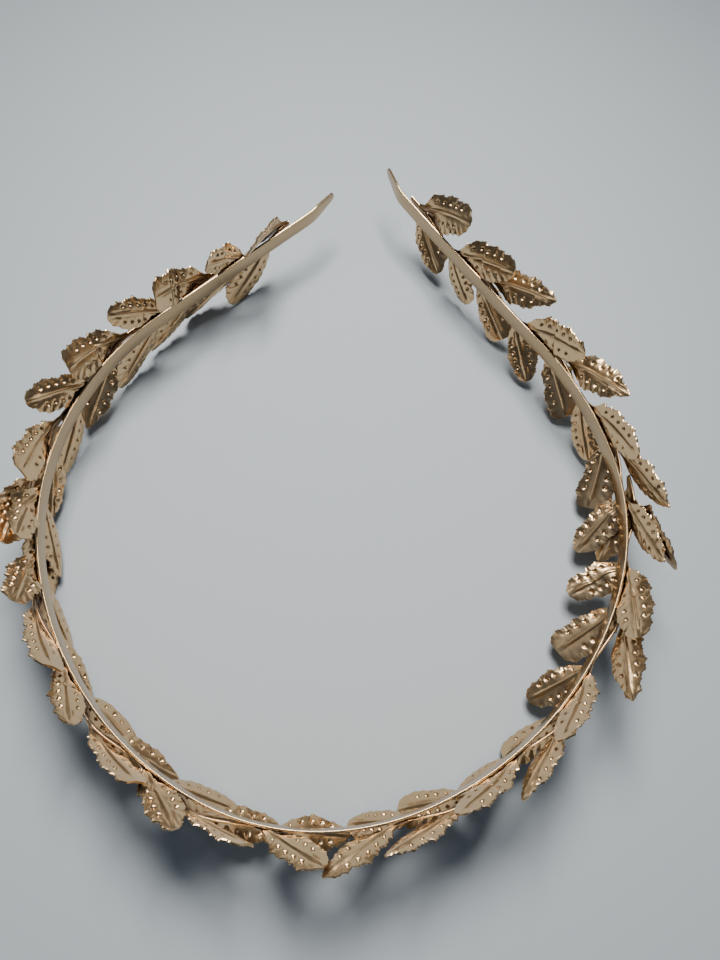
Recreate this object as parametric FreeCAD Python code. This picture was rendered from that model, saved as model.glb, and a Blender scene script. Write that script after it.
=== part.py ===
# Laurel wreath crown: an open headband with four stamped sprays of laurel leaves.
# Millimetres, +Z up. The front of the crown is at -Y, the open back at +Y.
# The crown lies on the tips of its lower leaves, on the plane z = 0.
import FreeCAD, Part
import math
import os

os.makedirs("parts", exist_ok=True)
V = FreeCAD.Vector

# Band: a flat strip standing on edge
band_height = 4.8
band_thickness = 0.6
tip_radius = 1.5

# Runs of the band's outer face from the middle of the front: length in mm, turn in degrees.
# A positive turn closes the ring, a negative one bends the run outwards.
arm_runs = {
    "right": [(26, 23.5), (34, 23.5), (34, 25), (34, 34.5), (34, 23), (57, -2.5), (4, -17)],
    "left": [(26, 26.5), (34, 26), (34, 25.5), (34, 31), (34, 28), (50, 0.5), (4, -12)],
}
tip_length = 7.5

# Sprays: sheet brass, seated on the outer face of the band
sheet = 0.45
seat_gap = 0.1
stem_height = 1.6
stem_step = 3.5
stem_bulge = 1.9
first_seat = 11.0
seat_pitch = 28.0
last_root = 95.0
leaf_root_rise = 0.5
drape_slope = 1.8
edge_margin = 0.3
lap_from = 8.0
lap_run = 6.0

# Leaves of the stamping: where the root is along the stem, the angle from the stem,
# the length, the half width, and the kind of outline. The first eight stand on one edge
# of the stem, and the last eight on the other.
first_edge = ["start", "short_1", "long_1", "short_2", "long_2", "short_3", "long_3", "end_long"]
leaf_sizes = {
    # leaf: (root, angle, length, half width, outline)
    "start": (1, 33, 22.5, 4.6, "short"),
    "short_1": (13, 30, 22.5, 4.4, "short"),
    "long_1": (26, 27, 24.5, 4.0, "long"),
    "short_2": (41, 30, 22.5, 4.4, "short"),
    "long_2": (54, 27, 24.0, 4.0, "long"),
    "short_3": (69, 30, 22.5, 4.4, "short"),
    "long_3": (81.5, 27, 23.5, 4.0, "long"),
    "end_long": (96, 30, 22.0, 3.8, "long"),
    "start_low": (-4, 25, 21.5, 4.2, "short"),
    "small_0": (13, 38, 16.5, 3.8, "oval"),
    "big_1": (22.5, 30, 20.8, 4.3, "square"),
    "small_1": (39, 36, 18.5, 3.8, "oval"),
    "big_2": (50.5, 30, 20.8, 4.3, "square"),
    "small_2": (67, 36, 18.5, 3.8, "oval"),
    "big_3": (78, 30, 20.5, 4.3, "square"),
    "small_3": (94, 36, 18.8, 3.8, "oval"),
}

# Outlines: half width as a share of the leaf's own, at shares of its length
outline_at = [0, 0.10, 0.18, 0.26, 0.38, 0.50, 0.62, 0.74, 0.86, 0.95, 1.0]
outline_width = {
    "long": [0.14, 0.15, 0.30, 0.62, 0.92, 1.0, 0.98, 0.84, 0.56, 0.25, 0.03],
    "short": [0.14, 0.15, 0.42, 0.80, 0.98, 1.0, 0.98, 0.92, 0.78, 0.50, 0.18],
    "square": [0.14, 0.15, 0.38, 0.66, 0.84, 0.90, 0.95, 1.0, 1.0, 0.85, 0.55],
    "oval": [0.14, 0.15, 0.42, 0.74, 0.94, 1.0, 1.0, 0.95, 0.80, 0.52, 0.20],
}
leaf_stations = 14
tooth = 0.3
fold_rise = 0.14
root_overlap = 0.8

# Where each spray starts, from the middle of the front along the band, how far its first
# end is lifted to lap over the spray behind it, and how its leaves were bent by hand:
# slide along the stem in mm, lean away from the band in degrees, and roll about the
# leaf's own axis in degrees.
sprays = {
    # spray: (arm, start, lap, {leaf: (slide, lean, roll)})
    "spray_right_back": ("right", 211.0, 0.0, {
        "start": (-4.5, 0, 40), "short_1": (0.5, 5, 30), "long_1": (-2, 7, 50),
        "short_2": (0.5, -1, 15), "long_2": (0, 1, 60), "short_3": (0.5, -5, 10),
        "long_3": (0, 1, 5), "end_long": (-1, 4, 10),
        "start_low": (-3, -10, -40), "small_0": (-1.5, -4, -15), "big_1": (-1.5, -5, -40),
        "small_1": (-1, -11, -45), "big_2": (-1, -11, -60), "small_2": (-1.5, -7, -30),
        "big_3": (-1, -25, -50), "small_3": (-1, -35, -50)}),
    "spray_right_front": ("right", 112.5, 0.7, {
        "start": (-3, 4, 15), "short_1": (0, 1, 35), "long_1": (-2.5, 8, 30),
        "short_2": (-1.5, -2, 20), "long_2": (-2.5, 2, 15), "short_3": (-4.5, -3, 20),
        "long_3": (-2.5, -2, 15), "end_long": (-3, 9, 25),
        "start_low": (-4, -24, -30), "small_0": (-2, -38, -55), "big_1": (-2, -26, -60),
        "small_1": (-1.5, -20, -60), "big_2": (-2, -9, -30), "small_2": (-3, -3, -20),
        "big_3": (-2.5, -12, -35), "small_3": (-4.5, -9, -30)}),
    "spray_left_back": ("left", 205.5, 0.0, {
        "start": (2.5, -5, -15), "short_1": (2.5, 6, 15), "long_1": (0.5, -3, 0),
        "short_2": (1, -8, 0), "long_2": (0.5, -12, -60), "short_3": (1.5, -4, -15),
        "long_3": (-0.5, -10, -35), "end_long": (0.5, -10, -10),
        "start_low": (2.5, -19, -15), "small_0": (1, -7, 10), "big_1": (2.5, -10, 30),
        "small_1": (0.5, 4, 25), "big_2": (1.5, -9, 45), "small_2": (0, 12, 35),
        "big_3": (1, -10, 30), "small_3": (2, -5, 35)}),
    "spray_left_front": ("left", 106.5, 0.7, {
        "start": (2, -4, -30), "short_1": (3, -5, -10), "long_1": (0, -8, -35),
        "short_2": (3, -6, -35), "long_2": (-1, -13, -50), "short_3": (1, -9, -25),
        "long_3": (-1.5, -12, -50), "end_long": (0, -3, -60),
        "start_low": (-2, -4, 45), "small_0": (0, 6, 45), "big_1": (1.5, -11, 25),
        "small_1": (0, 3, 30), "big_2": (2.5, -8, 20), "small_2": (0.5, 8, 40),
        "big_3": (-0.5, -6, 5), "small_3": (1, 7, 30)}),
}


def along_arm(arm, distance):
    """Point and heading of the band's outer face, from the middle of the front, drawn as a right arm."""
    x = 0.0
    y = 0.0
    heading = 0.0
    for length, turn in arm_runs[arm] + [(1000.0, 0.0)]:
        step = min(length, distance)
        bend = math.radians(turn) / length
        if turn == 0:
            x += step * math.cos(heading)
            y += step * math.sin(heading)
        else:
            x += (math.sin(heading + bend * step) - math.sin(heading)) / bend
            y -= (math.cos(heading + bend * step) - math.cos(heading)) / bend
            heading += bend * step
        distance -= step
        if distance <= 0:
            break
    return x, y, heading


def station(arm, distance):
    """Point on the band's outer face, the way to the front, and the way outwards."""
    if distance < 0:
        other = "left" if arm == "right" else "right"
        point, forward, outward = station(other, -distance)
        return point, forward * -1, outward
    x, y, heading = along_arm(arm, distance)
    mirror = 1 if arm == "right" else -1
    point = V(mirror * x, y, 0)
    forward = V(-mirror * math.cos(heading), -math.sin(heading), 0)
    outward = V(mirror * math.sin(heading), -math.cos(heading), 0)
    return point, forward, outward


def offset_point(arm, distance, out, height):
    """A point at a distance along the arm, outwards from its outer face, at a height above its middle."""
    point, _, outward = station(arm, distance)
    return point + outward * out + V(0, 0, height)


def band_run(arm, start, length, turn):
    """One run of the strip: two arcs or lines and two ends, raised to the band's height."""
    shares = (0, 0.5, 1)
    outer = [offset_point(arm, start + length * share, 0, -band_height / 2) for share in shares]
    inner = [offset_point(arm, start + length * share, -band_thickness, -band_height / 2)
             for share in shares]
    outer_edge = Part.Arc(*outer).toShape()
    inner_edge = Part.Arc(*inner).toShape()
    ends = [Part.makeLine(outer[0], inner[0]), Part.makeLine(inner[2], outer[2])]
    wire = Part.Wire(Part.__sortEdges__([outer_edge, inner_edge] + ends))
    return Part.Face(wire).extrude(V(0, 0, band_height))


def band_tip(arm, start):
    """The straight tip: it narrows from the band's height to a round nose."""
    point, forward, outward = station(arm, start)
    away = forward * -1
    nose = tip_length - tip_radius

    def at(reach, height):
        return point + away * reach + V(0, 0, height)

    corners = [at(0, -band_height / 2), at(nose, -tip_radius), at(nose, tip_radius), at(0, band_height / 2)]
    edges = [
        Part.makeLine(corners[0], corners[1]),
        Part.Arc(corners[1], at(tip_length, 0), corners[2]).toShape(),
        Part.makeLine(corners[2], corners[3]),
        Part.makeLine(corners[3], corners[0]),
    ]
    return Part.Face(Part.Wire(edges)).extrude(outward * -band_thickness)


def make_band():
    """The whole strip: runs of both arms and the two tips, joined to one solid."""
    pieces = []
    for arm in ("right", "left"):
        start = 0.0
        for length, turn in arm_runs[arm]:
            pieces.append(band_run(arm, start, length, turn))
            start += length
        pieces.append(band_tip(arm, start))
    return pieces[0].multiFuse(pieces[1:]).removeSplitter()


def stem_out(along, lap):
    """How far the middle of the stem's sheet stands out: it touches down at each seat, bulges
    between, and its first end laps over the spray behind."""
    reach = min(max(along, -3.0), last_root)
    swell = math.sin(math.pi * (reach - first_seat) / seat_pitch) ** 2
    rise = lap * smooth((lap_from - along) / lap_run)
    return seat_gap + sheet / 2 + stem_bulge * swell + rise


def smooth(share):
    """A soft step from 0 to 1."""
    share = min(max(share, 0.0), 1.0)
    return share * share * (3 - 2 * share)


def width_share(outline, share):
    """Half width of an outline, by straight steps between the shares of its table."""
    widths = outline_width[outline]
    for index in range(1, len(outline_at)):
        if share <= outline_at[index]:
            span = outline_at[index] - outline_at[index - 1]
            part = (share - outline_at[index - 1]) / span
            return widths[index - 1] + part * (widths[index] - widths[index - 1])
    return widths[-1]


def shortfall(arm, near, point):
    """How much further out a point has to be for the sheet to clear the band, and the way out.
    Beside the band it takes the full clearance, and less above and below."""
    distance = near
    for _ in range(4):
        place, forward, outward = station(arm, distance)
        distance -= (V(point.x, point.y, 0) - place).dot(forward)
    place, forward, outward = station(arm, distance)
    out = (V(point.x, point.y, 0) - place).dot(outward)
    beyond = max(abs(point.z) - band_height / 2 - edge_margin, 0)
    return seat_gap + sheet / 2 - drape_slope * beyond - out, outward


def drape(arm, near, row):
    """Shift a row of three points outwards until the lines between them clear the band."""
    need = 0.0
    for first, second in ((row[0], row[1]), (row[1], row[2])):
        for share in (0, 0.25, 0.5, 0.75, 1):
            short, outward = shortfall(arm, near, first * (1 - share) + second * share)
            need = max(need, short)
    outward = shortfall(arm, near, row[1])[1]
    return [point + outward * need for point in row]


def triangles(a, b, c, d):
    """Two flat faces for the four corners of a bent patch."""
    return [Part.Face(Part.makePolygon([a, b, c, a])), Part.Face(Part.makePolygon([a, c, d, a]))]


def leaf_solid(arm, spray_start, lap, leaf, pose):
    """One toothed leaf: a sheet folded along its midrib, worked out at stations along its length."""
    root, angle, length, half_width, outline = leaf_sizes[leaf]
    slide, lean, roll = pose
    along = root + slide
    near = spray_start - along
    up = 1 if (leaf in first_edge) == (arm == "right") else -1
    place, forward, outward = station(arm, near)
    angle = math.radians(angle)
    lean = math.radians(lean)
    rise = V(0, 0, up)
    start = place + outward * stem_out(along, lap) + V(0, 0, up * leaf_root_rise)
    axis = forward * math.cos(angle) + rise * math.sin(angle)
    across = forward * -math.sin(angle) + rise * math.cos(angle)
    face = outward * math.cos(lean) - axis * math.sin(lean)
    fronts = []
    backs = []
    for index in range(leaf_stations):
        share = index / (leaf_stations - 1)
        bend = max((share - 0.12) / 0.88, 0) ** 1.35
        turn = math.radians(roll) * smooth((share - 0.1) / 0.5)
        width = half_width * width_share(outline, share)
        if index > 3:
            width += tooth * (0.5 if index % 2 else -0.5)
        width = max(width, 0.12)
        reach = length * share - (root_overlap if index == 0 else 0)
        middle = start + axis * (reach * math.cos(lean)) + outward * (length * math.sin(lean) * bend)
        side = across * math.cos(turn) + face * math.sin(turn)
        normal = face * math.cos(turn) - across * math.sin(turn)
        row = [middle + side * width + normal * (fold_rise * width), middle,
               middle - side * width + normal * (fold_rise * width)]
        row = drape(arm, near - reach * 0.8, row)
        fronts.append([point + normal * (sheet / 2) for point in row])
        backs.append([point - normal * (sheet / 2) for point in row])
    faces = []
    for index in range(leaf_stations - 1):
        for column in (0, 1):
            for rows in (fronts, backs):
                faces += triangles(rows[index][column], rows[index + 1][column],
                                   rows[index + 1][column + 1], rows[index][column + 1])
        for column in (0, 2):
            faces += triangles(fronts[index][column], fronts[index + 1][column],
                               backs[index + 1][column], backs[index][column])
    for index in (0, leaf_stations - 1):
        for column in (0, 1):
            faces += triangles(fronts[index][column], fronts[index][column + 1],
                               backs[index][column + 1], backs[index][column])
    return solid_of(faces)


def solid_of(faces):
    """A closed solid from faces that meet edge to edge, with its inside on the right side."""
    shell = Part.makeShell(faces)
    shell.sewShape()
    solid = Part.makeSolid(shell)
    if solid.Volume < 0:
        solid.reverse()
    return solid


def stem_solid(arm, spray_start, lap, first, last):
    """The flat stem: a strip that follows the band from the first root to the last."""
    count = math.ceil((last - first) / stem_step)
    sections = []
    for index in range(count + 1):
        along = first + (last - first) * index / count
        distance = spray_start - along
        middle = stem_out(along, lap)
        sections.append([
            offset_point(arm, distance, middle - sheet / 2, -stem_height / 2),
            offset_point(arm, distance, middle + sheet / 2, -stem_height / 2),
            offset_point(arm, distance, middle + sheet / 2, stem_height / 2),
            offset_point(arm, distance, middle - sheet / 2, stem_height / 2),
        ])
    faces = []
    for before, after in zip(sections[:-1], sections[1:]):
        for corner in range(4):
            following = (corner + 1) % 4
            ring = [before[corner], after[corner], after[following], before[following], before[corner]]
            faces.append(Part.Face(Part.makePolygon(ring)))
    for ring in (sections[0], sections[-1]):
        faces.append(Part.Face(Part.makePolygon(ring + ring[:1])))
    return solid_of(faces)


def make_spray(arm, spray_start, lap, poses):
    """One stamping: the stem and its sixteen leaves, joined to one solid."""
    roots = [leaf_sizes[leaf][0] + pose[0] for leaf, pose in poses.items()]
    stem = stem_solid(arm, spray_start, lap, min(roots) - 0.6, max(roots) + 0.6)
    leaves = [leaf_solid(arm, spray_start, lap, leaf, pose) for leaf, pose in poses.items()]
    return stem.multiFuse(leaves)


nodes = {"band": make_band()}
for name, (arm, spray_start, lap, poses) in sprays.items():
    nodes[name] = make_spray(arm, spray_start, lap, poses)

# The origin is the middle of the underside of the crown's box
box = Part.makeCompound(list(nodes.values())).BoundBox
home = V(-(box.XMin + box.XMax) / 2, -(box.YMin + box.YMax) / 2, -box.ZMin)
for name, shape in nodes.items():
    shape.translate(home)
    print(name, "solids", len(shape.Solids), "faces", len(shape.Faces), "valid", shape.isValid(),
          "volume", round(shape.Volume, 1))
    shape.exportStep("parts/" + name + ".step")
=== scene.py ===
import math

import bpy
import numpy as np
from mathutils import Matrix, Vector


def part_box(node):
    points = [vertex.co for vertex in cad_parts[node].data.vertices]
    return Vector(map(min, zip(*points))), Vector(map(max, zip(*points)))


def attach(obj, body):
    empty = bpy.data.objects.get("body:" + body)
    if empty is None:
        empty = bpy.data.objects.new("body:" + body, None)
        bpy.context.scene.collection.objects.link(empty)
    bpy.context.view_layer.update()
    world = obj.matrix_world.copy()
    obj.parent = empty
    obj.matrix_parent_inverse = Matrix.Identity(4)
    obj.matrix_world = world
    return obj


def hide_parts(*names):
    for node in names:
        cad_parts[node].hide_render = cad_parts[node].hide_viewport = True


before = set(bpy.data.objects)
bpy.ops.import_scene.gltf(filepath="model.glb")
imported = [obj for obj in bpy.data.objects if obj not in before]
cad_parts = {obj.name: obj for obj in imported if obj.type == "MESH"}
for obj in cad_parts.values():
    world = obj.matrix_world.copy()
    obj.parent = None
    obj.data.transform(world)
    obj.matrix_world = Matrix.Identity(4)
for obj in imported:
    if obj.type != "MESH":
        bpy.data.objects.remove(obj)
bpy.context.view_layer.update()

bl_info = {
    "name": "Laurel wreath crown",
    "version": (1, 0, 0),
    "blender": (4, 5, 0),
    "location": "3D View > Sidebar > Laurel Crown",
    "description": "Adds the strip, the leaf sprays and the stage of a laurel wreath crown",
    "category": "Add Mesh",
}

MM = 0.001

# Band: runs of its outer face from the middle of the front, (length in mm, turn in degrees).
# A positive turn closes the ring, a negative one bends the run outwards.
ARM_RUNS = {
    "right": [(26, 23.5), (34, 23.5), (34, 25), (34, 34.5), (34, 23), (57, -2.5), (4, -17)],
    "left": [(26, 26.5), (34, 26), (34, 25.5), (34, 31), (34, 28), (50, 0.5), (4, -12)],
}
TIP_LENGTH = 7.5
TIP_RADIUS = 1.5
NOSE_STOP = math.pi / 2 - 0.06
BODY_STEPS = 260
TAPER_STEPS = 8
NOSE_STEPS = 10
BAND_LOW, BAND_HIGH = (np.array(corner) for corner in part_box("band"))
BAND_HEIGHT = float(BAND_HIGH[2] - BAND_LOW[2])

# Stem: its section, its ends past the last roots, and how it stands off the band between
# its seats, in mm
SEAT_GAP = 0.1
STEM_HEIGHT = 1.6
STEM_CORNER = 0.12
STEM_OVERRUN = 0.6
STEM_STEPS = 240
STEM_BULGE = 1.9
FIRST_ROOT = -3.0
FIRST_SEAT = 11.0
SEAT_PITCH = 28.0
LAST_ROOT = 95.0
LAP_FROM = 8.0
LAP_RUN = 6.0
LEAF_ROOT_RISE = 0.5
DRAPE_SLOPE = 1.8
EDGE_MARGIN = 0.3

# Leaves that stand on the stem's first edge; the others stand on its second edge
FIRST_EDGE = ["start", "short_1", "long_1", "short_2", "long_2", "short_3", "long_3", "end_long"]
LEAF_SIZES = {
    # leaf: (root along the stem, angle from the stem, length, half width, outline)
    "start": (1, 33, 22.5, 4.6, "short"),
    "short_1": (13, 30, 22.5, 4.4, "short"),
    "long_1": (26, 27, 24.5, 4.0, "long"),
    "short_2": (41, 30, 22.5, 4.4, "short"),
    "long_2": (54, 27, 24.0, 4.0, "long"),
    "short_3": (69, 30, 22.5, 4.4, "short"),
    "long_3": (81.5, 27, 23.5, 4.0, "long"),
    "end_long": (96, 30, 22.0, 3.8, "long"),
    "start_low": (-4, 25, 21.5, 4.2, "short"),
    "small_0": (13, 38, 16.5, 3.8, "oval"),
    "big_1": (22.5, 30, 20.8, 4.3, "square"),
    "small_1": (39, 36, 18.5, 3.8, "oval"),
    "big_2": (50.5, 30, 20.8, 4.3, "square"),
    "small_2": (67, 36, 18.5, 3.8, "oval"),
    "big_3": (78, 30, 20.5, 4.3, "square"),
    "small_3": (94, 36, 18.8, 3.8, "oval"),
}

# Outlines: half width as a share of the leaf's own, at shares of its length
OUTLINE_AT = [0, 0.10, 0.18, 0.26, 0.38, 0.50, 0.62, 0.74, 0.86, 0.95, 1.0]
OUTLINE_WIDTH = {
    "long": [0.14, 0.15, 0.30, 0.62, 0.92, 1.0, 0.98, 0.84, 0.56, 0.25, 0.03],
    "short": [0.14, 0.15, 0.42, 0.80, 0.98, 1.0, 0.98, 0.92, 0.78, 0.50, 0.18],
    "square": [0.14, 0.15, 0.38, 0.66, 0.84, 0.90, 0.95, 1.0, 1.0, 0.85, 0.55],
    "oval": [0.14, 0.15, 0.42, 0.74, 0.94, 1.0, 1.0, 0.95, 0.80, 0.52, 0.20],
}

# Sprays, and how their leaves were bent by hand: slide along the stem in mm, lean away
# from the band in degrees, and roll about the leaf's own axis in degrees
SPRAYS = {
    # spray: (arm, start along the band, lap, {leaf: (slide, lean, roll)})
    "spray_right_back": ("right", 211.0, 0.0, {
        "start": (-4.5, 0, 40), "short_1": (0.5, 5, 30), "long_1": (-2, 7, 50),
        "short_2": (0.5, -1, 15), "long_2": (0, 1, 60), "short_3": (0.5, -5, 10),
        "long_3": (0, 1, 5), "end_long": (-1, 4, 10),
        "start_low": (-3, -10, -40), "small_0": (-1.5, -4, -15), "big_1": (-1.5, -5, -40),
        "small_1": (-1, -11, -45), "big_2": (-1, -11, -60), "small_2": (-1.5, -7, -30),
        "big_3": (-1, -25, -50), "small_3": (-1, -35, -50)}),
    "spray_right_front": ("right", 112.5, 0.7, {
        "start": (-3, 3, -20), "short_1": (0, 1, 35), "long_1": (-2.5, 8, 30),
        "short_2": (-1.5, -2, 20), "long_2": (-2.5, 2, 15), "short_3": (-4.5, -3, 20),
        "long_3": (-2.5, -2, 15), "end_long": (-3, 9, 25),
        "start_low": (-4, -24, -30), "small_0": (-2, -38, -55), "big_1": (-2, -26, -60),
        "small_1": (-1.5, -20, -60), "big_2": (-2, -9, -30), "small_2": (-3, -3, -20),
        "big_3": (-2.5, -12, -35), "small_3": (-4.5, -9, -30)}),
    "spray_left_back": ("left", 205.5, 0.0, {
        "start": (2.5, -5, -15), "short_1": (2.5, 6, 15), "long_1": (0.5, -3, 0),
        "short_2": (1, -8, 0), "long_2": (0.5, -12, -60), "short_3": (1.5, -4, -15),
        "long_3": (-0.5, -10, -35), "end_long": (0.5, -10, -10),
        "start_low": (2.5, -19, -15), "small_0": (1, -7, 10), "big_1": (2.5, -10, 30),
        "small_1": (0.5, 4, 25), "big_2": (1.5, -9, 45), "small_2": (0, 12, 35),
        "big_3": (1, -10, 30), "small_3": (2, -5, 35)}),
    "spray_left_front": ("left", 106.5, 0.7, {
        "start": (2, -4, -30), "short_1": (3, -5, -10), "long_1": (0, -8, -35),
        "short_2": (3, -6, -35), "long_2": (-1, -13, -50), "short_3": (1, -9, -25),
        "long_3": (-1.5, -12, -50), "end_long": (0, -3, -60),
        "start_low": (-2, -4, 45), "small_0": (0, 6, 45), "big_1": (1.5, -11, 25),
        "small_1": (0, 3, 30), "big_2": (2.5, -8, 20), "small_2": (0.5, 8, 40),
        "big_3": (-0.5, -6, 5), "small_3": (1, 7, 30)}),
}

# Grid over a leaf: rows along it, and columns from the midrib to each edge, closer together
# over the midrib and over the pits
LEAF_ROWS = 96
HALF_ACROSS = np.interp(np.arange(15), [0, 3, 6, 11, 14], [0, 0.12, 0.42, 0.68, 1.0])
ACROSS = np.concatenate([-HALF_ACROSS[:0:-1], HALF_ACROSS])

# Stamping of a leaf: the midrib and its grooves in mm, the pits and bends as shares of the
# leaf's length or half width
RIB_SPREAD = 0.34
GROOVE_PLACE = 0.62
GROOVE_SPREAD = 0.22
GROOVE_SHARE = 0.7
FLUTE_SLANT = 0.9
FLUTES_FROM = 0.35
PIT_PLACES = (0.32, 0.43, 0.54, 0.65, 0.76)
PIT_ACROSS = 0.55
PIT_STAGGER = 0.02
MIDRIB_BOW = 0.10
BEND_FROM = 0.12
BEND_POWER = 1.35
FLARE_FROM = 0.6

# Teeth: share of each that rises, and shifts of the row from edge to edge and leaf to leaf
TOOTH_RISE = 0.72
EDGE_SHIFT = 0.35
LEAF_SHIFT = 0.37

# Edges of the mesh that turn by more than this stay sharp, in degrees
SHARP_FROM = 40

# Sizes of the plate's patterns: patches, tumbling grain and dents of the press
STRIP_PATCH = 6 * MM
LEAF_PATCH = 3 * MM
GRAIN = 0.35 * MM
DENT = 1.3 * MM
# Painted shade: shares of open surround, from ambient occlusion, below which the plate is fully the
# dark shade colour and above which it keeps its own colour
RECESS_FROM = 0.30
RECESS_TO = 0.80

# Stage: the floor, and the light beyond the open back, in metres and degrees
FLOOR_HALF = 1.5
KEY_SIZE = 0.25
KEY_SPREAD = 80
KEY_PLACE = (0.0, 0.25, 0.45)
KEY_TILT = -32
KEY_COLOUR = "#FFFBF5"
SKY_COLOUR = "#C2D2E6"
SKY_START = 0.45

# Camera: its place over the upper front edge of the strip in mm, and its turns in degrees
CAMERA_PLACE = (2.1, 19.1, 162.6)
CAMERA_TURNS = (19.44, -2.73, 2.04)
SENSOR_WIDTH = 36.0


class BandSettings(bpy.types.PropertyGroup):
    """Sizes and colour of the strip."""
    thickness: bpy.props.FloatProperty(
        name="Thickness", description="Thickness of the strip",
        default=0.6 * MM, unit="LENGTH")
    edge_radius: bpy.props.FloatProperty(
        name="Edge radius", description="Rounding of the strip's long edges",
        default=0.16 * MM, unit="LENGTH")
    colour: bpy.props.StringProperty(
        name="Colour", description="sRGB hex of the polished gold plate", default="#AE9573")
    roughness: bpy.props.FloatProperty(
        name="Roughness", description="Roughness of the polished strip",
        default=0.25, subtype="FACTOR")
    # Painted shade: the dark brown that the plate turns to where other faces stand close, and how close
    # they must stand
    painted_shade_colour: bpy.props.StringProperty(
        name="Recess colour", description="sRGB hex of the plate in its recesses", default="#5E3C1C")
    recess_reach: bpy.props.FloatProperty(
        name="Recess reach", description="How close faces stand in a recess",
        default=3 * MM, unit="LENGTH")


class SpraySettings(bpy.types.PropertyGroup):
    """Sizes and colour of the stamped sprays."""
    sheet: bpy.props.FloatProperty(
        name="Sheet", description="Thickness of the stamped sheet",
        default=0.45 * MM, unit="LENGTH")
    tooth: bpy.props.FloatProperty(
        name="Tooth", description="Depth of the teeth along a leaf's edge",
        default=0.52 * MM, unit="LENGTH")
    tooth_pitch: bpy.props.FloatProperty(
        name="Tooth pitch", description="Distance from tooth to tooth",
        default=2.3 * MM, unit="LENGTH")
    flare: bpy.props.FloatProperty(
        name="Flare", description="How far the teeth bend in and out in turn",
        default=0.24 * MM, unit="LENGTH")
    cup: bpy.props.FloatProperty(
        name="Cup", description="How far a leaf's edges bend out, as a share of its half width",
        default=0.12)
    pit_depth: bpy.props.FloatProperty(
        name="Pit depth", description="Depth of the punched pits",
        default=0.50 * MM, unit="LENGTH")
    pit_radius: bpy.props.FloatProperty(
        name="Pit radius", description="Radius of the punched pits",
        default=0.40 * MM, unit="LENGTH")
    rib_height: bpy.props.FloatProperty(
        name="Rib height", description="Height of the midrib",
        default=0.27 * MM, unit="LENGTH")
    vein_height: bpy.props.FloatProperty(
        name="Vein height", description="Height of the flutes towards the teeth",
        default=0.06 * MM, unit="LENGTH")
    colour: bpy.props.StringProperty(
        name="Colour", description="sRGB hex of the satin gold plate", default="#D0B188")
    roughness: bpy.props.FloatProperty(
        name="Roughness", description="Roughness of the satin leaves",
        default=0.29, subtype="FACTOR")
    # Painted shade: the dark brown that the plate turns to where other faces stand close, and how close
    # they must stand
    painted_shade_colour: bpy.props.StringProperty(
        name="Recess colour", description="sRGB hex of the plate in its recesses", default="#5E3C1C")
    recess_reach: bpy.props.FloatProperty(
        name="Recess reach", description="How close faces stand in a recess",
        default=3 * MM, unit="LENGTH")


class StageSettings(bpy.types.PropertyGroup):
    """Floor, light and camera."""
    floor_colour: bpy.props.StringProperty(
        name="Floor colour", description="sRGB hex of the plain floor", default="#A4ACB2")
    key_power: bpy.props.FloatProperty(
        name="Key power", description="Power of the soft light beyond the open back",
        default=1.25, unit="POWER")
    fill: bpy.props.FloatProperty(
        name="Fill", description="Strength of the light near the horizon", default=0.06)
    overhead: bpy.props.FloatProperty(
        name="Overhead", description="Strength of the light straight overhead", default=0.37)
    lens: bpy.props.FloatProperty(
        name="Lens", description="Focal length on a sensor 36 mm wide", default=36.05)


def linear(colour):
    """Linear RGBA of an sRGB hex colour, by the sRGB curve with its straight foot."""
    values = [int(colour[place:place + 2], 16) / 255 for place in (1, 3, 5)]
    return [v / 12.92 if v <= 0.04045 else ((v + 0.055) / 1.055) ** 2.4 for v in values] + [1.0]


def smooth(share):
    """A soft step: 3t^2 - 2t^3 of the share held between 0 and 1."""
    share = np.clip(share, 0, 1)
    return share * share * (3 - 2 * share)


def arm_curve(arm, distance):
    """Point and heading of the band's outer face at each distance: runs of arcs and lines end
    to end, each starting where the last one stopped. Drawn as a right arm, in mm."""
    x0, y0, heading0, begun = 0.0, 0.0, 0.0, 0.0
    x = np.zeros_like(distance)
    y = np.zeros_like(distance)
    heading = np.zeros_like(distance)
    for length, turn in ARM_RUNS[arm] + [(TIP_LENGTH, 0)]:
        bend = math.radians(turn) / length
        along = distance - begun
        ends = np.append(along.ravel(), length)
        if turn:
            angle = heading0 + bend * ends
            px = x0 + (np.sin(angle) - math.sin(heading0)) / bend
            py = y0 - (np.cos(angle) - math.cos(heading0)) / bend
        else:
            angle = np.full(ends.shape, heading0)
            px = x0 + ends * math.cos(heading0)
            py = y0 + ends * math.sin(heading0)
        here = along >= 0
        x = np.where(here, px[:-1].reshape(x.shape), x)
        y = np.where(here, py[:-1].reshape(x.shape), y)
        heading = np.where(here, angle[:-1].reshape(x.shape), heading)
        x0, y0, heading0, begun = px[-1], py[-1], angle[-1], begun + length
    return x, y, heading


def station(arm, distance):
    """Point on the band's outer face, the way to the front and the way outwards, at each
    distance from the middle of the front. A distance below 0 is on the other arm."""
    distance = np.asarray(distance, float)
    found = []
    for side, back in ((arm, 1), ("left" if arm == "right" else "right", -1)):
        x, y, heading = arm_curve(side, np.abs(distance))
        mirror = 1 if side == "right" else -1
        zero = np.zeros_like(x)
        cos, sin = np.cos(heading), np.sin(heading)
        point = np.stack([mirror * x, y, zero], -1)
        forward = np.stack([-mirror * cos, -sin, zero], -1) * back
        outward = np.stack([mirror * sin, -cos, zero], -1)
        found.append((point, forward, outward))
    own = (distance >= 0)[..., None]
    return tuple(np.where(own, a, b) for a, b in zip(*found))


def home():
    """Where the middle of the band's front goes in the frame: the band's own box says so. The
    left arm, taken every 0.05 mm to past its tip, tells how far it reaches to the side."""
    outer = station("left", np.linspace(0, 240, 4801))[0]
    side = BAND_LOW[0] - outer[:, 0].min() * MM
    return np.array([side, BAND_LOW[1], (BAND_LOW[2] + BAND_HIGH[2]) / 2])


HOME = home()


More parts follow.
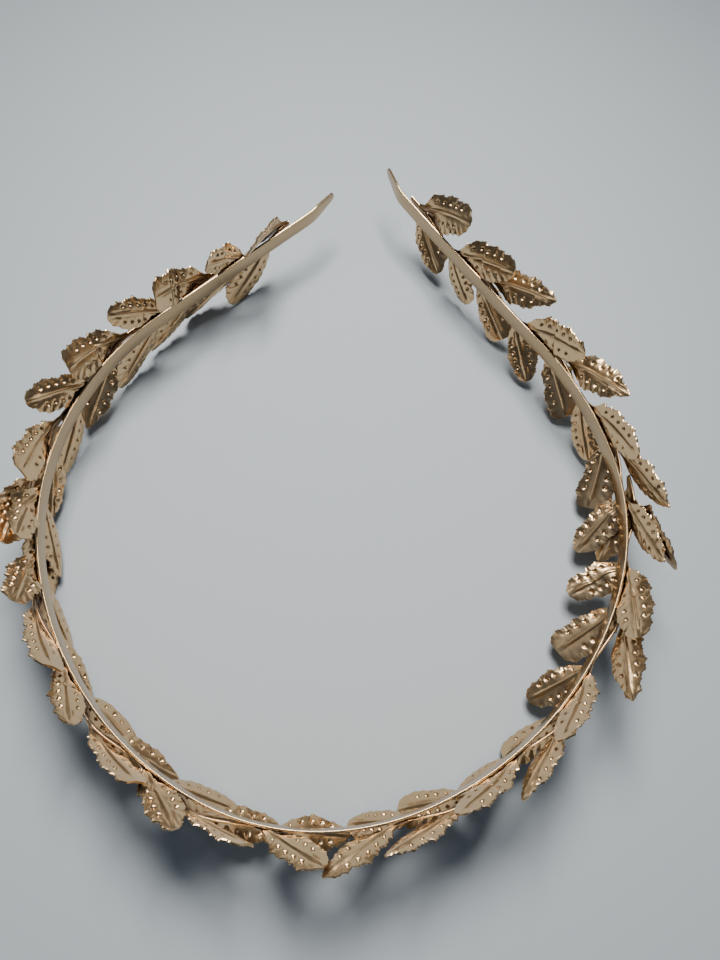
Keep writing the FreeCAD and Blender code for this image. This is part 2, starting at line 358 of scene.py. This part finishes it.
def grid_faces(rows, columns, start=0, flip=False):
    """Corner numbers of the cells of a grid of rows by columns points."""
    corner = np.arange(rows - 1)[:, None] * columns + np.arange(columns - 1)[None, :]
    corner = corner.ravel() + start
    faces = np.stack([corner, corner + 1, corner + columns + 1, corner + columns], -1)
    return faces[:, ::-1] if flip else faces


def strip_between(first, second):
    """Cells between two rings of corner numbers that run side by side and close."""
    after_first, after_second = np.roll(first, -1), np.roll(second, -1)
    return np.stack([first, after_first, after_second, second], -1)


def sweep(rings):
    """A closed skin over an array of rings (sections, points, 3), with both ends closed by
    their middle points."""
    sections, around, _ = rings.shape
    numbers = np.arange(sections * around).reshape(sections, around)
    faces = [strip_between(numbers[i], numbers[i + 1]) for i in range(sections - 1)]
    middles = rings[[0, -1]].mean(1)
    points = np.concatenate([rings.reshape(-1, 3), middles])
    count = sections * around
    caps = []
    for ring, middle, flip in ((numbers[0], count, True), (numbers[-1], count + 1, False)):
        fan = np.stack([ring, np.roll(ring, -1), np.full(around, middle)], -1)
        caps.append(fan[:, ::-1] if flip else fan)
    return points, [np.concatenate(faces)] + caps


def add_piece(name, parts, material):
    """One mesh object from several closed skins, in metres in the crown's frame."""
    points, polygons, start = [], [], 0
    for part_points, part_faces in parts:
        points.append(part_points)
        polygons += [faces + start for faces in part_faces]
        start += len(part_points)
    mesh = bpy.data.meshes.new(name)
    corners = np.concatenate([faces.ravel() for faces in polygons])
    sizes = np.concatenate([np.full(len(faces), faces.shape[1]) for faces in polygons])
    points = np.concatenate(points) * MM + HOME
    mesh.vertices.add(len(points))
    mesh.vertices.foreach_set("co", points.astype(np.float32).ravel())
    mesh.loops.add(len(corners))
    mesh.loops.foreach_set("vertex_index", corners.astype(np.int32))
    mesh.polygons.add(len(sizes))
    starts = np.concatenate([[0], np.cumsum(sizes)[:-1]])
    mesh.polygons.foreach_set("loop_start", starts.astype(np.int32))
    mesh.update(calc_edges=True)
    mesh.validate()
    mesh.shade_smooth()
    mesh.set_sharp_from_angle(angle=math.radians(SHARP_FROM))
    mesh.materials.append(material)
    piece = bpy.data.objects.new(name, mesh)
    bpy.context.scene.collection.objects.link(piece)
    return piece


def rounded_section(thickness, height, radius, steps=4):
    """A rectangle with quarter circles at its corners: (points, 2) as (out, up), turning
    from the outer lower corner upwards."""
    quarter = np.linspace(0, math.pi / 2, steps + 1)
    middles = [(1, -1, -math.pi / 2), (1, 1, 0), (-1, 1, math.pi / 2), (-1, -1, math.pi)]
    parts = []
    for out, up, begin in middles:
        centre = np.array([out * (thickness / 2 - radius), up * (height / 2 - radius)])
        turn = begin + quarter
        parts.append(centre + radius * np.stack([np.cos(turn), np.sin(turn)], -1))
    return np.concatenate(parts)


def carried(arm, distance, section_out, section_up):
    """Rings of a section carried along an arm: at each distance the section's points stand
    out from the outer face and up from the band's middle."""
    point, _, outward = station(arm, distance)
    up = np.array([0, 0, 1.0])
    rings = point[:, None] + section_out[..., None] * outward[:, None]
    return rings + section_up[..., None] * up


def band_rings(settings):
    """The strip from the left tip over the front to the right tip. Its height narrows over
    the tip in a straight line and ends in a half circle, and the section's rounded corners
    keep their radius, down to 0.3 of the half height."""
    thickness = settings.thickness / MM
    radius = settings.edge_radius / MM
    height = BAND_HEIGHT / MM
    section = rounded_section(thickness, height, radius)
    section[:, 0] -= thickness / 2
    rings = []
    for arm in ("left", "right"):
        whole = sum(length for length, _ in ARM_RUNS[arm])
        nose = whole + TIP_LENGTH - TIP_RADIUS
        body = np.linspace(0, whole, BODY_STEPS)
        taper = np.linspace(whole, nose, TAPER_STEPS)[1:]
        angle = np.linspace(0, NOSE_STOP, NOSE_STEPS)[1:]
        end = nose + TIP_RADIUS * np.sin(angle)
        distance = np.concatenate([body, taper, end])
        half = np.concatenate([
            np.full(len(body), height / 2),
            np.linspace(height / 2, TIP_RADIUS, TAPER_STEPS)[1:],
            TIP_RADIUS * np.cos(angle)])
        up = np.sign(section[None, :, 1]) * np.maximum(
            half[:, None] - (height / 2 - np.abs(section[None, :, 1])), half[:, None] * 0.3)
        out = np.broadcast_to(section[None, :, 0], up.shape)
        side = carried(arm, distance, out, up)
        rings.append(side[::-1] if arm == "left" else side[1:])
    return np.concatenate(rings)


def stem_out(along, lap, sheet):
    """How far the middle of the stem's sheet stands out: sine squared between the seats, and
    a soft step where the first end laps over the spray behind."""
    reach = np.clip(along, FIRST_ROOT, LAST_ROOT)
    swell = np.sin(math.pi * (reach - FIRST_SEAT) / SEAT_PITCH) ** 2
    return SEAT_GAP + sheet / 2 + STEM_BULGE * swell + lap * smooth((LAP_FROM - along) / LAP_RUN)


def stem_skin(spray, settings):
    """The flat stem: a rounded rectangle carried along the band at the stem's own distance."""
    arm, start, lap, poses = SPRAYS[spray]
    sheet = settings.sheet / MM
    roots = [LEAF_SIZES[leaf][0] + pose[0] for leaf, pose in poses.items()]
    along = np.linspace(max(roots) + STEM_OVERRUN, min(roots) - STEM_OVERRUN, STEM_STEPS)
    section = rounded_section(sheet, STEM_HEIGHT, STEM_CORNER, 2)
    out = stem_out(along, lap, sheet)[:, None] + section[None, :, 0]
    up = np.broadcast_to(section[None, :, 1], out.shape)
    rings = carried(arm, start - along, out, up)
    return sweep(rings if arm == "right" else rings[::-1])


def clear_of_band(arm, near, surface, sheet):
    """Shift each row of a surface outwards until it clears the band. Four steps of adding the
    part that lies along the band find each point's place on it. Beside the band a point takes
    the full clearance, and above and below it less, in a straight slope."""
    distance = np.repeat(near[:, None], surface.shape[1], 1)
    flat = surface * [1, 1, 0]
    for _ in range(4):
        place, forward, _ = station(arm, distance)
        distance = distance - ((flat - place) * forward).sum(-1)
    place, _, outward = station(arm, distance)
    out = ((flat - place) * outward).sum(-1)
    half_band = BAND_HEIGHT / MM / 2
    beyond = np.maximum(np.abs(surface[..., 2]) - half_band - EDGE_MARGIN, 0)
    need = np.maximum(SEAT_GAP + sheet / 2 - DRAPE_SLOPE * beyond - out, 0).max(1)
    middle = surface.shape[1] // 2
    return surface + outward[:, middle][:, None] * need[:, None, None]


def normals(surface):
    """Unit normals of a grid: the cross product of its two slopes."""
    slope_u = np.gradient(surface, axis=0)
    slope_v = np.gradient(surface, axis=1)
    normal = np.cross(slope_u, slope_v)
    return normal / np.maximum(np.linalg.norm(normal, axis=-1, keepdims=True), 1e-9)


def leaf_relief(share, across, width, length, settings):
    """Height of the stamping's relief over a leaf, in mm towards the band: the midrib is a bell
    curve between two narrow grooves, the flutes are a cosine that slants out to the teeth, and
    the pits are round with steep walls, in a row nearer to each edge."""
    side = across * width
    rib = settings.rib_height / MM
    groove = np.exp(-((np.abs(side) - GROOVE_PLACE) / GROOVE_SPREAD) ** 2)
    relief = rib * (np.exp(-(side / RIB_SPREAD) ** 2) - GROOVE_SHARE * groove)
    outer = smooth((np.abs(across) - FLUTES_FROM) / 0.35)
    slanted = share * length - FLUTE_SLANT * np.abs(side)
    flutes = np.cos(2 * math.pi * slanted / (settings.tooth_pitch / MM))
    relief = relief + settings.vein_height / MM * flutes * outer
    relief = relief * smooth((share - 0.10) / 0.15) * smooth((1.02 - share) / 0.2)
    pits = np.zeros_like(relief)
    for place in PIT_PLACES:
        for hand in (-1, 1):
            reach = ((share - place - PIT_STAGGER * hand) * length) ** 2
            reach = reach + ((across - PIT_ACROSS * hand) * width) ** 2
            pits += np.exp(-(reach / (settings.pit_radius / MM) ** 2) ** 1.5)
    return relief - settings.pit_depth / MM * pits


def tooth_wave(phase):
    """A saw from -0.5 to 0.5 that rises slowly and falls fast over each tooth, with three small
    nubs on it as a cosine, and two slow sines that make the teeth uneven."""
    part = phase - np.floor(phase)
    saw = np.where(part < TOOTH_RISE, part / TOOTH_RISE, (1 - part) / (1 - TOOTH_RISE)) - 0.5
    saw = saw * (0.8 + 0.4 * np.sin(2.6 * phase + 1.0))
    return saw + 0.2 * np.cos(6 * math.pi * phase) + 0.5 * np.sin(2.3 * phase)


def leaf_skin(spray, leaf, settings):
    """A stamped leaf. Its midline leaves the stem at the leaf's angle and bends away from the
    band, and the midrib bows to one side as a sine. Its width follows the outline, and the
    teeth move its edges by the cube of the distance from the midline. It rolls about the
    midline, bends its edges out as the square of that distance, and carries the relief."""
    arm, spray_start, lap, poses = SPRAYS[spray]
    root, angle, length, half_width, outline = LEAF_SIZES[leaf]
    slide, lean, roll = poses[leaf]
    sheet = settings.sheet / MM
    along = root + slide
    near = spray_start - along
    up = 1 if (leaf in FIRST_EDGE) == (arm == "right") else -1
    place, forward, outward = (value[0] for value in station(arm, np.array([near])))
    angle, lean, roll = (math.radians(value) for value in (angle, lean, roll))
    rise = np.array([0, 0, float(up)])
    stand_off = float(stem_out(np.array([along]), lap, sheet)[0])
    start = place + outward * stand_off + rise * LEAF_ROOT_RISE
    axis = forward * math.cos(angle) + rise * math.sin(angle)
    side = rise * math.cos(angle) - forward * math.sin(angle)
    face = outward * math.cos(lean) - axis * math.sin(lean)

    share = np.linspace(0, 1, LEAF_ROWS + 1)
    bow = MIDRIB_BOW * np.sin(math.pi * share)
    across = ACROSS[None, :] + bow[:, None] * (1 - ACROSS[None, :] ** 2)
    width = half_width * np.interp(share, OUTLINE_AT, OUTLINE_WIDTH[outline])
    phase = share[:, None] * length / (settings.tooth_pitch / MM)
    phase = phase + EDGE_SHIFT * (ACROSS > 0) + LEAF_SHIFT * root
    toothed = smooth((share - 0.18) / 0.1) * smooth((1.02 - share) / 0.1)
    teeth = tooth_wave(phase) * toothed[:, None]
    bend = np.clip((share - BEND_FROM) / (1 - BEND_FROM), 0, 1) ** BEND_POWER
    turn = roll * smooth((share - 0.1) / 0.5)
    middle = (start + np.outer(share * length * math.cos(lean), axis)
              + np.outer(length * math.sin(lean) * bend, outward))
    edge_way = np.outer(np.cos(turn), side) + np.outer(np.sin(turn), face)
    face_way = np.outer(np.cos(turn), face) - np.outer(np.sin(turn), side)
    spread = width[:, None] * across + settings.tooth / MM * teeth * across ** 3
    flare = settings.flare / MM * teeth * smooth((np.abs(across) - FLARE_FROM) / 0.4)
    surface = (middle[:, None] + edge_way[:, None] * spread[..., None]
               + face_way[:, None] * (settings.cup * spread * across + flare)[..., None])
    surface = clear_of_band(arm, near - share * length * 0.8, surface, sheet)

    normal = normals(surface)
    normal *= np.sign((normal * face_way[:, None]).sum(-1, keepdims=True))
    relief = leaf_relief(share[:, None], ACROSS[None, :], width[:, None], length, settings)
    surface = surface - normal * relief[..., None]
    return sheet_skin(surface, normal, sheet, edge_way)


def sheet_skin(surface, normal, sheet, edge_way):
    """A closed skin round a surface: one grid on each side at half the sheet's thickness, and
    a rounded rim between them."""
    rows, columns, _ = surface.shape
    front = surface + normal * sheet / 2
    back = surface - normal * sheet / 2
    numbers = np.arange(rows * columns).reshape(rows, columns)
    rim = np.concatenate([numbers[0, :-1], numbers[:-1, -1], numbers[-1, :0:-1], numbers[:0:-1, 0]])
    bulge = np.zeros_like(surface)
    bulge[:, 0] -= edge_way
    bulge[:, -1] += edge_way
    rim_points = (surface + bulge * sheet * 0.3).reshape(-1, 3)[rim]
    points = np.concatenate([front.reshape(-1, 3), back.reshape(-1, 3), rim_points])
    count = rows * columns
    slope = np.cross(surface[1, 1] - surface[0, 1], surface[0, 2] - surface[0, 1])
    outside_first = float((slope * normal[0, 1]).sum()) < 0
    middle_ring = np.arange(len(rim)) + 2 * count
    faces = [
        grid_faces(rows, columns, 0, flip=not outside_first),
        grid_faces(rows, columns, count, flip=outside_first),
        strip_between(rim, middle_ring),
        strip_between(middle_ring, rim + count),
    ]
    if not outside_first:
        faces[2:] = [strip[:, ::-1] for strip in faces[2:]]
    return points, faces


def add_node(tree, kind, settings=None, links=None):
    """Adds one node, sets its values by name and links its inputs from (node, output) pairs."""
    node = tree.nodes.new(kind)
    for name, value in (settings or {}).items():
        if name in node.inputs:
            node.inputs[name].default_value = value
        else:
            setattr(node, name, value)
    for name, (source, output) in (links or {}).items():
        tree.links.new(source.outputs[output], node.inputs[name])
    return node


def new_material(name):
    """An empty node material."""
    material = bpy.data.materials.new(name)
    material.use_nodes = True
    material.node_tree.nodes.clear()
    return material


def colour_with_painted_shade(tree, settings):
    """Colour of the plate with painted shade: it turns to the dark brown shade colour where ambient
    occlusion finds other faces standing close.
    """
    opening = add_node(tree, "ShaderNodeAmbientOcclusion",
                       {"samples": 8, "Distance": settings.recess_reach})
    level = add_node(tree, "ShaderNodeMapRange",
                     {"From Min": RECESS_FROM, "From Max": RECESS_TO},
                     {"Value": (opening, "AO")})
    # Painted shade: mixes the plate's colour towards dark brown where ambient occlusion finds other
    # faces close
    return add_node(tree, "ShaderNodeMixRGB",
                    {"Color1": linear(settings.painted_shade_colour), "Color2": linear(settings.colour)},
                    {"Fac": (level, "Result")})


def polished_gold_plate(settings):
    """Gold plate over a rolled brass strip, polished by hand. It mirrors softly, a little
    sharper where the wheel pressed harder, and carries painted shade, browner where leaves stand close."""
    material = new_material("polished_gold_plate")
    tree = material.node_tree
    place = add_node(tree, "ShaderNodeTexCoord")
    patch = add_node(tree, "ShaderNodeTexNoise", {"Scale": 1 / STRIP_PATCH, "Detail": 2.0},
                     {"Vector": (place, "Object")})
    rough = add_node(tree, "ShaderNodeMapRange",
                     {"To Min": settings.roughness - 0.04, "To Max": settings.roughness + 0.05},
                     {"Value": (patch, "Fac")})
    # The strip's colour, with painted shade where leaves stand close
    colour = colour_with_painted_shade(tree, settings)
    metal = add_node(tree, "ShaderNodeBsdfPrincipled", {"Metallic": 1.0},
                     {"Base Color": (colour, "Color"), "Roughness": (rough, "Result")})
    add_node(tree, "ShaderNodeOutputMaterial", links={"Surface": (metal, "BSDF")})
    return material


def satin_gold_plate(settings):
    """Gold plate over stamped brass sheet, tumbled to a satin. It shows a broad soft sheen,
    its fine grain breaks the reflections up, and it carries painted shade, browner in its recesses."""
    material = new_material("satin_gold_plate")
    tree = material.node_tree
    place = add_node(tree, "ShaderNodeTexCoord")
    patch = add_node(tree, "ShaderNodeTexNoise", {"Scale": 1 / LEAF_PATCH, "Detail": 3.0},
                     {"Vector": (place, "Object")})
    rough = add_node(tree, "ShaderNodeMapRange",
                     {"To Min": settings.roughness - 0.06, "To Max": settings.roughness + 0.08},
                     {"Value": (patch, "Fac")})
    # The tumbling grain is about 0.05 mm, drawn at 0.35 mm so that it shows
    grain = add_node(tree, "ShaderNodeTexNoise", {"Scale": 1 / GRAIN, "Detail": 1.0},
                     {"Vector": (place, "Object")})
    # The press leaves the thin sheet a little uneven, about a millimetre from rise to rise
    dent = add_node(tree, "ShaderNodeTexNoise", {"Scale": 1 / DENT, "Detail": 2.0},
                    {"Vector": (place, "Object")})
    dents = add_node(tree, "ShaderNodeBump", {"Strength": 0.6, "Distance": 0.10 * MM},
                     {"Height": (dent, "Fac")})
    bump = add_node(tree, "ShaderNodeBump", {"Strength": 0.15, "Distance": 0.02 * MM},
                    {"Height": (grain, "Fac"), "Normal": (dents, "Normal")})
    # The leaves' colour, with painted shade in their recesses and pits
    colour = colour_with_painted_shade(tree, settings)
    metal = add_node(tree, "ShaderNodeBsdfPrincipled", {"Metallic": 1.0},
                     {"Base Color": (colour, "Color"), "Roughness": (rough, "Result"),
                      "Normal": (bump, "Normal")})
    add_node(tree, "ShaderNodeOutputMaterial", links={"Surface": (metal, "BSDF")})
    return material


def plain_floor(settings):
    """Matt painted board: an even pale surface with no gloss."""
    material = new_material("matt_painted_board")
    tree = material.node_tree
    board = add_node(tree, "ShaderNodeBsdfPrincipled",
                     {"Base Color": linear(settings.floor_colour), "Roughness": 0.85})
    add_node(tree, "ShaderNodeOutputMaterial", links={"Surface": (board, "BSDF")})
    return material


class CROWN_OT_band(bpy.types.Operator):
    """Add the polished strip"""
    bl_idname = "crown.band"
    bl_label = "Strip"

    def execute(self, context):
        settings = context.scene.crown_band
        piece = add_piece("strip", [sweep(band_rings(settings))], polished_gold_plate(settings))
        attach(piece, "root")
        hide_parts("band")
        return {"FINISHED"}


class CROWN_OT_sprays(bpy.types.Operator):
    """Add the four stamped sprays of laurel leaves"""
    bl_idname = "crown.sprays"
    bl_label = "Leaf sprays"

    def execute(self, context):
        settings = context.scene.crown_spray
        material = satin_gold_plate(settings)
        for spray, (_, _, _, poses) in SPRAYS.items():
            skins = [stem_skin(spray, settings)]
            skins += [leaf_skin(spray, leaf, settings) for leaf in poses]
            piece = add_piece("leaves_" + spray, skins, material)
            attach(piece, "root")
            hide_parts(spray)
        return {"FINISHED"}


class CROWN_OT_stage(bpy.types.Operator):
    """Add the floor, the lights and the camera"""
    bl_idname = "crown.stage"
    bl_label = "Stage"

    def execute(self, context):
        settings = context.scene.crown_stage
        corners = [(x * FLOOR_HALF, y * FLOOR_HALF, 0) for x, y in ((-1, -1), (1, -1), (1, 1), (-1, 1))]
        mesh = bpy.data.meshes.new("floor")
        mesh.from_pydata(corners, [], [(0, 1, 2, 3)])
        mesh.materials.append(plain_floor(settings))
        floor = bpy.data.objects.new("floor", mesh)
        context.scene.collection.objects.link(floor)

        # A soft light stands high beyond the open back, and its cone leaves the corners darker
        light = bpy.data.lights.new("key", "AREA")
        light.shape = "DISK"
        light.size = KEY_SIZE
        light.spread = math.radians(KEY_SPREAD)
        light.energy = settings.key_power
        light.color = linear(KEY_COLOUR)[:3]
        key = bpy.data.objects.new("key", light)
        key.location = KEY_PLACE
        key.rotation_euler = (math.radians(KEY_TILT), 0, 0)
        context.scene.collection.objects.link(key)

        # The light all round is bright overhead and dim near the horizon
        world = bpy.data.worlds.new("overhead_light")
        world.use_nodes = True
        tree = world.node_tree
        tree.nodes.clear()
        place = add_node(tree, "ShaderNodeTexCoord")
        way = add_node(tree, "ShaderNodeSeparateXYZ", links={"Vector": (place, "Generated")})
        level = add_node(tree, "ShaderNodeMapRange",
                         {"interpolation_type": "SMOOTHSTEP", "From Min": SKY_START,
                          "To Min": settings.fill, "To Max": settings.overhead},
                         {"Value": (way, "Z")})
        sky = add_node(tree, "ShaderNodeBackground", {"Color": linear(SKY_COLOUR)},
                       {"Strength": (level, "Result")})
        add_node(tree, "ShaderNodeOutputWorld", links={"Surface": (sky, "Background")})
        context.scene.world = world

        # The photo was taken from above the front of the ring, tilted towards its open back
        lens = bpy.data.cameras.new("photo_camera")
        lens.sensor_fit = "HORIZONTAL"
        lens.sensor_width = SENSOR_WIDTH
        lens.lens = settings.lens
        lens.clip_start = 0.01
        camera = bpy.data.objects.new("photo_camera", lens)
        camera.rotation_mode = "YXZ"
        camera.rotation_euler = [math.radians(turn) for turn in CAMERA_TURNS]
        camera.location = HOME + np.array(CAMERA_PLACE) * MM + [0, 0, BAND_HEIGHT / 2]
        context.scene.collection.objects.link(camera)
        context.scene.camera = camera
        return {"FINISHED"}


class VIEW3D_PT_crown(bpy.types.Panel):
    """The crown's pieces in the sidebar"""
    bl_idname = "VIEW3D_PT_crown"
    bl_label = "Laurel Crown"
    bl_space_type = "VIEW_3D"
    bl_region_type = "UI"
    bl_category = "Laurel Crown"

    def draw(self, context):
        scene = context.scene
        rows = (("crown.band", scene.crown_band), ("crown.sprays", scene.crown_spray),
                ("crown.stage", scene.crown_stage))
        for operator, settings in rows:
            self.layout.operator(operator)
            for name in settings.__annotations__:
                self.layout.prop(settings, name)


CLASSES = (BandSettings, SpraySettings, StageSettings,
           CROWN_OT_band, CROWN_OT_sprays, CROWN_OT_stage, VIEW3D_PT_crown)


def register():
    """Registers the classes and puts their settings on the scene."""
    for item in CLASSES:
        bpy.utils.register_class(item)
    bpy.types.Scene.crown_band = bpy.props.PointerProperty(type=BandSettings)
    bpy.types.Scene.crown_spray = bpy.props.PointerProperty(type=SpraySettings)
    bpy.types.Scene.crown_stage = bpy.props.PointerProperty(type=StageSettings)


def unregister():
    """Takes the settings and the classes away again."""
    del bpy.types.Scene.crown_stage
    del bpy.types.Scene.crown_spray
    del bpy.types.Scene.crown_band
    for item in reversed(CLASSES):
        bpy.utils.unregister_class(item)


def main():
    register()
    bpy.ops.crown.band()
    bpy.ops.crown.sprays()
    bpy.ops.crown.stage()


if __name__ == "__main__":
    main()
